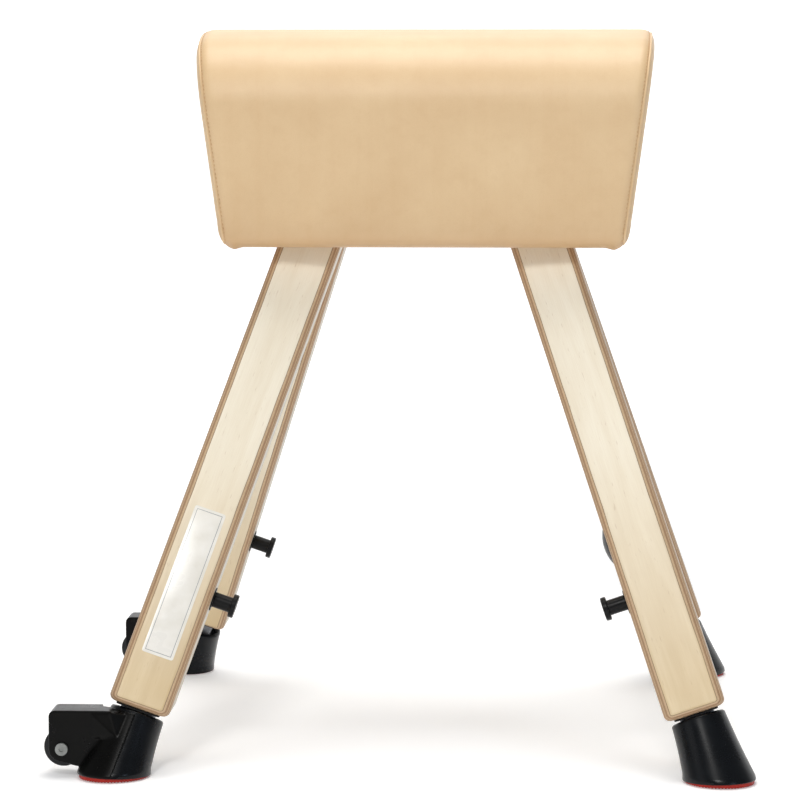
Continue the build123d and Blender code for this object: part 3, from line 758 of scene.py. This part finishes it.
def stitches(name, ring, normals, random_source):
    """A line of stitches along a loop of points on the leather."""
    even, length, around = closed_samples(ring, STITCH_PITCH)
    outs = np.vstack([normals, normals[:1]])
    points, faces = [], []
    for distance in even:
        centre = Vector([np.interp(distance, length, around[:, k]) for k in range(3)])
        onward = min(distance + 0.001, length[-1])
        behind = max(distance - 0.001, 0)
        after = Vector([np.interp(onward, length, around[:, k]) for k in range(3)])
        before = Vector([np.interp(behind, length, around[:, k]) for k in range(3)])
        out = Vector([np.interp(distance, length, outs[:, k]) for k in range(3)]).normalized()
        ahead = (after - before).normalized()
        ahead = (ahead + Vector((random_source.uniform(-0.06, 0.06), 0, 0))).normalized()
        long = STITCH_LENGTH * random_source.uniform(0.9, 1.08)
        new_points, new_faces = capsule(centre + out * 0.0001, ahead, out, long, 0.00052)
        faces += [tuple(i + len(points) for i in face) for face in new_faces]
        points += new_points
    obj = add_mesh(name, points, faces, materials["thread"])
    obj.data.shade_smooth()
    return obj


def build_body():
    rows, kinds = body_rows()
    rows = stuffed(rows, kinds)
    seams = [i for i, kind in enumerate(kinds) if kind == "seam"]
    left, right = seams
    wrap = [*tucked(rows, left, 1)[::-1], *rows[left:right + 1], *tucked(rows, right, -1)]
    cover = loop_mesh("leather_wrap", np.array(wrap), True)
    ends = []
    end_rows = np.array([*rows[:left + 1], *tucked(rows, left, -1)])
    ends.append(loop_mesh("leather_end_panel_left", end_rows, True, cap=0))
    end_rows = np.array([*tucked(rows, right, 1)[::-1], *rows[right:]])
    ends.append(loop_mesh("leather_end_panel_right", end_rows, True, cap=-1))
    finished_leather(cover, (-1, 1))
    for obj, side in zip(ends, (-1, 1)):
        finished_leather(obj, (side,))
    random_source = random.Random(4)
    out = np.column_stack([np.zeros(LOOP), SECTION_NORMAL])
    beads, threads = [], []
    for label, seam, step in (("left", left, 1), ("right", right, -1)):
        path = rows[seam] - out * 0.0006
        beads.append(swept(f"welt_{label}", path, out, WELT_RADIUS, 10, hide))
        gap = rows[seam + step] - rows[seam]
        along = gap / np.linalg.norm(gap, axis=1)[:, None]
        line = rows[seam] + along * STITCH_LINE
        threads.append(stitches(f"stitching_{label}", line, out, random_source))
    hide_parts("leather_cover")
    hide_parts("leather_end_left")
    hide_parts("leather_end_right")
    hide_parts("welts")
    for obj in (cover, *ends):
        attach(obj, "root")
    for obj in beads:
        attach(obj, "root")
    for obj in threads:
        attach(obj, "root")


build_body()


# ---- feet ----

def foot_point(place, share, swell, angle):
    """A point on the foot, from the sole's oval, share 0, to the ankle, share 1, pushed out by swell."""
    lean = math.atan2(place.up.y, place.up.x)
    outward = place.up.cross(Vector((0, 0, 1))).cross(place.up).normalized()
    sideways = place.up.cross(-outward)
    along, across = math.cos(angle), math.sin(angle)
    low = place.origin + Vector((0, 0, SOLE))
    low += Vector((math.cos(lean), math.sin(lean), 0)) * (OVAL[0] + swell) * along
    low += Vector((-math.sin(lean), math.cos(lean), 0)) * (OVAL[1] + swell) * across
    reach = (-outward * along + sideways * across) * (ANKLE_RADIUS + swell)
    high = place.at(0, 0, FOOT_TOP - 0.004 + RIM_LIFT - RIM_TILT * reach.y * place.front) + reach
    return low.lerp(high, share)


def hem_point(place, lift, swell, angle):
    """A point on the boot's lower edge, which hangs over the sole and is higher on the outer side."""
    spot = foot_point(place, 0.0, swell, angle)
    spot.z = HEM[0] - HEM[1] * math.cos(angle) + lift
    return spot


def foot_row(place, share, swell):
    return [foot_point(place, share, swell, 2 * math.pi * k / FOOT_SIDES) for k in range(FOOT_SIDES)]


def build_foot(leg):
    place = LEGS[leg]
    rows = []
    turns = [2 * math.pi * k / FOOT_SIDES for k in range(FOOT_SIDES)]
    hem = ((0.0020, -0.0120), (0.0010, -0.0004), (0.0, 0.0001), (0.0, 0.0008), (0.0008, 0.0013))
    for lift, swell in hem:
        rows.append([hem_point(place, lift, swell, turn) for turn in turns])
    for share in (0.02, 0.05, 0.10, 0.18, 0.28, 0.42, 0.56, 0.70, 0.83, 0.93, 1.0):
        rows.append(foot_row(place, share, 0.0013 * (1 - share) ** 2 - 0.0005 * math.sin(math.pi * share)))
    top = np.array(rows[-1])
    centre = top.mean(0)
    up = np.array(place.up)
    for angle in (0.3, 0.7, 1.15, math.pi / 2):
        pull = 0.0036 * (1 - math.cos(angle)) / ANKLE_RADIUS
        rows.append(list(centre + (top - centre) * (1 - pull) + up * 0.0036 * math.sin(angle)))
    lip = centre + (top - centre) * (0.0320 / ANKLE_RADIUS) + up * 0.0034
    inner = centre + (top - centre) * (0.0313 / ANKLE_RADIUS) + up * 0.0020
    shelf = centre + (top - centre) * 0.30 + up * 0.0019
    rows += [list(lip), list(inner), list(shelf)]
    points = [p for row in rows for p in row]
    faces = ring_faces(len(rows), FOOT_SIDES)
    faces.append(tuple(range(FOOT_SIDES))[::-1])
    faces.append(tuple(range((len(rows) - 1) * FOOT_SIDES, len(rows) * FOOT_SIDES)))
    obj = add_mesh(f"boot_{leg}", points, faces, materials["foot"])
    smooth(obj, 42)
    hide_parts(f"foot_{leg}")
    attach(obj, f"leg_{leg}")


def build_tread(leg):
    """The red sole: an oval pad whose underside and lower edge are cut into small nubs."""
    place = LEGS[leg]
    nubs = round(2 * math.pi * sum(OVAL) / 2 / TREAD_PITCH)
    columns = 4 * nubs
    ring_step = TREAD_PITCH / OVAL[1]
    levels = [(0.30, None)]
    levels += [(0.40 + ring_step * k / 4, k) for k in range(int(0.56 / ring_step * 4) + 1)]
    points = []
    for scale, phase in levels:
        for k in range(columns):
            between = 1.0 if phase is None else 0.5 - 0.5 * math.cos(math.pi * phase / 2)
            groove = max(between, 0.5 - 0.5 * math.cos(math.pi * k / 2))
            spot = foot_point(place, 0.0, -0.0008, 2 * math.pi * k / columns)
            spot = place.origin.lerp(Vector((spot.x, spot.y, 0)), scale)
            points.append((spot.x, spot.y, TREAD_DEPTH * groove))
    for height, swell, share in ((0.0006, -0.0010, 1.0), (0.0020, -0.0006, 0.7), (0.0038, -0.0006, 0.0),
                                 (SOLE, -0.0006, 0.0)):
        for k in range(columns):
            groove = share * (0.5 - 0.5 * math.cos(math.pi * k / 2))
            spot = foot_point(place, 0.0, swell - 0.0006 * groove, 2 * math.pi * k / columns)
            points.append((spot.x, spot.y, height + TREAD_DEPTH * groove * (share == 1.0)))
    rows = len(levels) + 4
    faces = ring_faces(rows, columns)
    faces.append(tuple(range(columns))[::-1])
    faces.append(tuple(range((rows - 1) * columns, rows * columns)))
    obj = add_mesh(f"tread_{leg}", points, faces, materials["sole"])
    smooth(obj, 35)
    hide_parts(f"sole_{leg}")
    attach(obj, f"leg_{leg}")


def build_castor_shell(leg):
    """The castor's hood and the half shell round the boot, as one soft-edged moulding."""
    place, (side, front) = LEGS[leg], SIDES[leg]
    bracket = nodes[f"castor_bracket_{leg}"]
    _, hood_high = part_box(bracket.name)
    hub_low, hub_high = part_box(f"castor_hub_{leg}")
    shell = bmesh.new()
    shell.from_mesh(bracket.data)
    for edge, outward in ((hub_low.y - CASTOR_CHEEK, -1), (hub_high.y + CASTOR_CHEEK, 1)):
        whole = shell.verts[:] + shell.edges[:] + shell.faces[:]
        bmesh.ops.bisect_plane(shell, geom=whole, plane_co=(0, edge, 0), plane_no=(0, outward, 0),
                               clear_outer=True)
        bmesh.ops.holes_fill(shell, edges=[e for e in shell.edges if e.is_boundary])
    facing = math.atan2(0, side) - math.atan2(place.up.y, place.up.x)
    steps = range(-WRAP_STEPS, WRAP_STEPS + 1)
    angles = [facing + math.pi * WRAP_SPAN * step / WRAP_STEPS for step in steps]
    rows = [[hem_point(place, 0.0004, WRAP, a) for a in angles]
            + [hem_point(place, 0.0004, 0.0, a) for a in angles[::-1]]]
    for share in np.linspace(0.0, 0.985, 16):
        rows.append([foot_point(place, share, WRAP, a) for a in angles]
                    + [foot_point(place, share, 0.0, a) for a in angles[::-1]])
    count = 2 * len(angles)
    verts = [shell.verts.new(p) for row in rows for p in row]
    for face in ring_faces(len(rows), count):
        shell.faces.new([verts[i] for i in face])
    for base in (0, (len(rows) - 1) * count):
        for k in range(len(angles) - 1):
            shell.faces.new([verts[base + i] for i in (k, k + 1, count - 2 - k, count - 1 - k)])
    near = hub_low.y - CASTOR_CHEEK if front < 0 else hub_high.y + CASTOR_CHEEK
    gusset = []
    for out in (0.004, 0.030):
        gusset += [(place.origin.x + side * out, near - front * 0.0004, z)
                   for z in (hood_high.z - GUSSET_HEIGHT, hood_high.z - 0.0016)]
    for turn in np.linspace(0.0, 0.44 * math.pi, 12):
        gusset += [tuple(foot_point(place, share, WRAP - 0.0004, facing + side * front * turn))
                   for share in GUSSET_SHARES]
    made = bmesh.ops.convex_hull(shell, input=[shell.verts.new(spot) for spot in gusset])
    spare = {v for v in made["geom_interior"] + made["geom_unused"] if isinstance(v, bmesh.types.BMVert)}
    bmesh.ops.delete(shell, geom=list(spare), context="VERTS")
    bmesh.ops.recalc_face_normals(shell, faces=shell.faces[:])
    mesh = bpy.data.meshes.new(f"castor_shell_{leg}")
    shell.to_mesh(mesh)
    shell.free()
    mesh.materials.append(materials["housing"])
    obj = bpy.data.objects.new(mesh.name, mesh)
    bpy.context.scene.collection.objects.link(obj)
    remesh = obj.modifiers.new("moulding", "REMESH")
    remesh.mode = "VOXEL"
    remesh.voxel_size = CASTOR_VOXEL
    soften = obj.modifiers.new("soften", "SMOOTH")
    soften.factor = 0.5
    soften.iterations = 5
    applied(obj)
    obj.data.materials.clear()
    obj.data.materials.append(materials["housing"])
    obj.data.shade_smooth()
    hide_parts(bracket.name)
    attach(obj, f"leg_{leg}")


for leg_name in SIDES:
    build_foot(leg_name)
    build_tread(leg_name)
for leg_name in CASTOR_LEGS:
    build_castor_shell(leg_name)


# ---- label ----

def build_label(leg):
    """A blank rounded label a tenth of a millimetre thick on the front face."""
    place = LEGS[leg]
    front = place.face if place.face.y < 0 else -place.face
    sign = 1 if place.face.y < 0 else -1
    half_w, half_l, corner = LABEL_SIZE[0] / 2, LABEL_SIZE[1] / 2, 0.003
    outline = []
    for cx, cy, start in ((1, 1, 0), (-1, 1, 90), (-1, -1, 180), (1, -1, 270)):
        for step in range(7):
            angle = math.radians(start + 15 * step)
            outline.append((cx * (half_w - corner) + corner * math.cos(angle),
                            cy * (half_l - corner) + corner * math.sin(angle)))
    points = []
    levels = ((1.0, 0.0), (1.0, 0.00012), (0.985, 0.00020))
    for shrink, lift in levels:
        for x, z in outline:
            spot = place.at(x * shrink, sign * LEG_HALF, LABEL_CENTRE + z * (1 - (1 - shrink) * 0.2))
            points.append(spot + front * lift)
    n = len(outline)
    faces = ring_faces(len(levels), n, flip=sign < 0)
    top = tuple(range((len(levels) - 1) * n, len(levels) * n))
    faces.append(top if sign > 0 else top[::-1])
    bottom = tuple(range(n))
    faces.append(bottom[::-1] if sign > 0 else bottom)
    obj = add_mesh("blank_label", points, faces, vinyl("label_vinyl", place))
    smooth(obj, 30)
    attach(obj, "root")


build_label("fl")


# ---- materials of the CAD parts ----

for leg_name in SIDES:
    dress(f"leg_box_{leg_name}", plywood(f"birch_ply_{leg_name}", leg_name))
    dress(f"leg_tube_{leg_name}", materials["tube"])
    dress(f"tube_glide_{leg_name}", materials["nylon"])
    dress(f"foot_{leg_name}", materials["foot"])
    dress(f"foot_bolt_{leg_name}", materials["steel"])
    dress(f"sole_{leg_name}", materials["sole"])
for leg_name in PLUNGER_LEGS:
    dress(f"plunger_knob_{leg_name}", materials["black"])
    dress(f"plunger_pin_{leg_name}", materials["steel"])
    dress(f"plunger_spring_{leg_name}", materials["steel"])
for leg_name in CASTOR_LEGS:
    dress(f"castor_bracket_{leg_name}", materials["housing"])
    dress(f"castor_axle_{leg_name}", materials["axle"])
    dress(f"castor_hub_{leg_name}", materials["wheel"])
    dress(f"castor_tyre_{leg_name}", materials["tyre"])
for node_name, material_name in (
    ("leather_cover", None), ("leather_end_left", None), ("leather_end_right", None), ("welts", None),
    ("foam_padding", "felt"), ("core_end_boards", "core"), ("core_side_boards", "core"),
    ("core_top_board", "core"), ("core_base_board", "core"), ("leg_cheeks", "core"),
    ("leg_head_blocks", "core"), ("leg_head_bolts", "steel"), ("leg_guide_bushes", "nylon"),
    ("plunger_sleeves", "black"), ("clamp_insert", "brass"), ("clamp_pad", "brass"),
    ("clamp_screw", "steel"), ("clamp_knob", "black"),
):
    dress(node_name, materials[material_name] if material_name else hide)


# ---- floor, lights and camera ----

def studio_cloth():
    """White cloth that glows more away from the object: the backdrop is white, the floor throws less up."""
    paint = Paint("studio_cloth", Specular_IOR_Level=0.1, Emission_Color=(1, 1, 1, 1))
    cloud = paint.noise(0.8, detail=2.0)
    colour = paint.mix(paint.span(cloud, 0.3, 0.7), rgb(252, 252, 252), rgb(249, 249, 250))
    away = paint.node("ShaderNodeVectorMath", operation="LENGTH")
    paint.plug(away.inputs[0], paint.place)
    glow = paint.span(away.outputs["Value"], 1.4, 5.0, 0.22, 0.62)
    paint.plug(paint.shader.inputs["Emission Strength"], glow)
    return paint.finish(colour, paint.span(cloud, 0.3, 0.7, 0.8, 0.9))


def build_floor():
    """A white sweep: floor, a wide curve and a wall behind."""
    low = cad_box[0].z
    outline = [(-16.0, low), (5.0, low)]
    for a in np.linspace(0.1, math.pi / 2, 12):
        outline.append((5.0 + 1.5 * math.sin(a), low + 1.5 - 1.5 * math.cos(a)))
    outline.append((6.5, low + 6.0))
    points = [(x, y, z) for x in (-16.0, 16.0) for y, z in outline]
    n = len(outline)
    faces = [(k, k + 1, n + k + 1, n + k) for k in range(n - 1)]
    sweep = add_mesh("studio_sweep", points, [f[::-1] for f in faces], studio_cloth())
    sweep.data.shade_smooth()


def area_light(name, place, aim, size, power, colour=(1, 1, 1)):
    data = bpy.data.lights.new(name, "AREA")
    data.shape = "DISK"
    data.size = size
    data.energy = power
    data.color = colour
    lamp = bpy.data.objects.new(name, data)
    bpy.context.scene.collection.objects.link(lamp)
    lamp.location = place
    lamp.rotation_euler = (Vector(aim) - Vector(place)).to_track_quat("-Z", "Y").to_euler()


build_floor()
middle = (BODY_X, 0.0, 0.6)
area_light("key", (BODY_X - 0.4, -3.7, 3.0), middle, 0.9, 55, (1.0, 0.99, 0.97))
area_light("overhead", (BODY_X, 0.0, 3.0), (BODY_X, 0.0, 0.0), 1.8, 46, (1.0, 0.99, 0.97))
area_light("window_right", (BODY_X + 2.6, -3.2, 1.5), middle, 0.8, 9, (0.62, 0.78, 1.0))
area_light("fill_left", (BODY_X - 3.6, -2.2, 1.6), middle, 2.4, 9)
area_light("back", (BODY_X, 3.0, 3.6), (BODY_X, 0.6, 0.6), 2.0, 12)

world = bpy.data.worlds.new("studio")
world.use_nodes = True
world.node_tree.nodes["Background"].inputs["Color"].default_value = (1.0, 1.0, 1.0, 1)
world.node_tree.nodes["Background"].inputs["Strength"].default_value = 0.27
bpy.context.scene.world = world
bpy.context.scene.view_settings.view_transform = "Standard"

CAMERA_DISTANCE = 4.5
CAMERA_PAN = 0.0468
CAMERA_TILT = 0.0942
CAMERA_SLIDE = 0.03212
CAMERA_HEIGHT = 0.866
CAMERA_LENS = 146.39

camera_data = bpy.data.cameras.new("camera")
camera_data.lens = CAMERA_LENS
camera_data.sensor_width = 36.0
camera_data.clip_end = 100
camera = bpy.data.objects.new("camera", camera_data)
bpy.context.scene.collection.objects.link(camera)
sine, cosine = math.sin(CAMERA_PAN), math.cos(CAMERA_PAN)
camera.location = (
    BODY_X - CAMERA_SLIDE * cosine + CAMERA_DISTANCE * sine,
    -CAMERA_SLIDE * sine - CAMERA_DISTANCE * cosine,
    CAMERA_HEIGHT,
)
camera.rotation_euler = (math.pi / 2 - CAMERA_TILT, 0, CAMERA_PAN)
bpy.context.scene.camera = camera
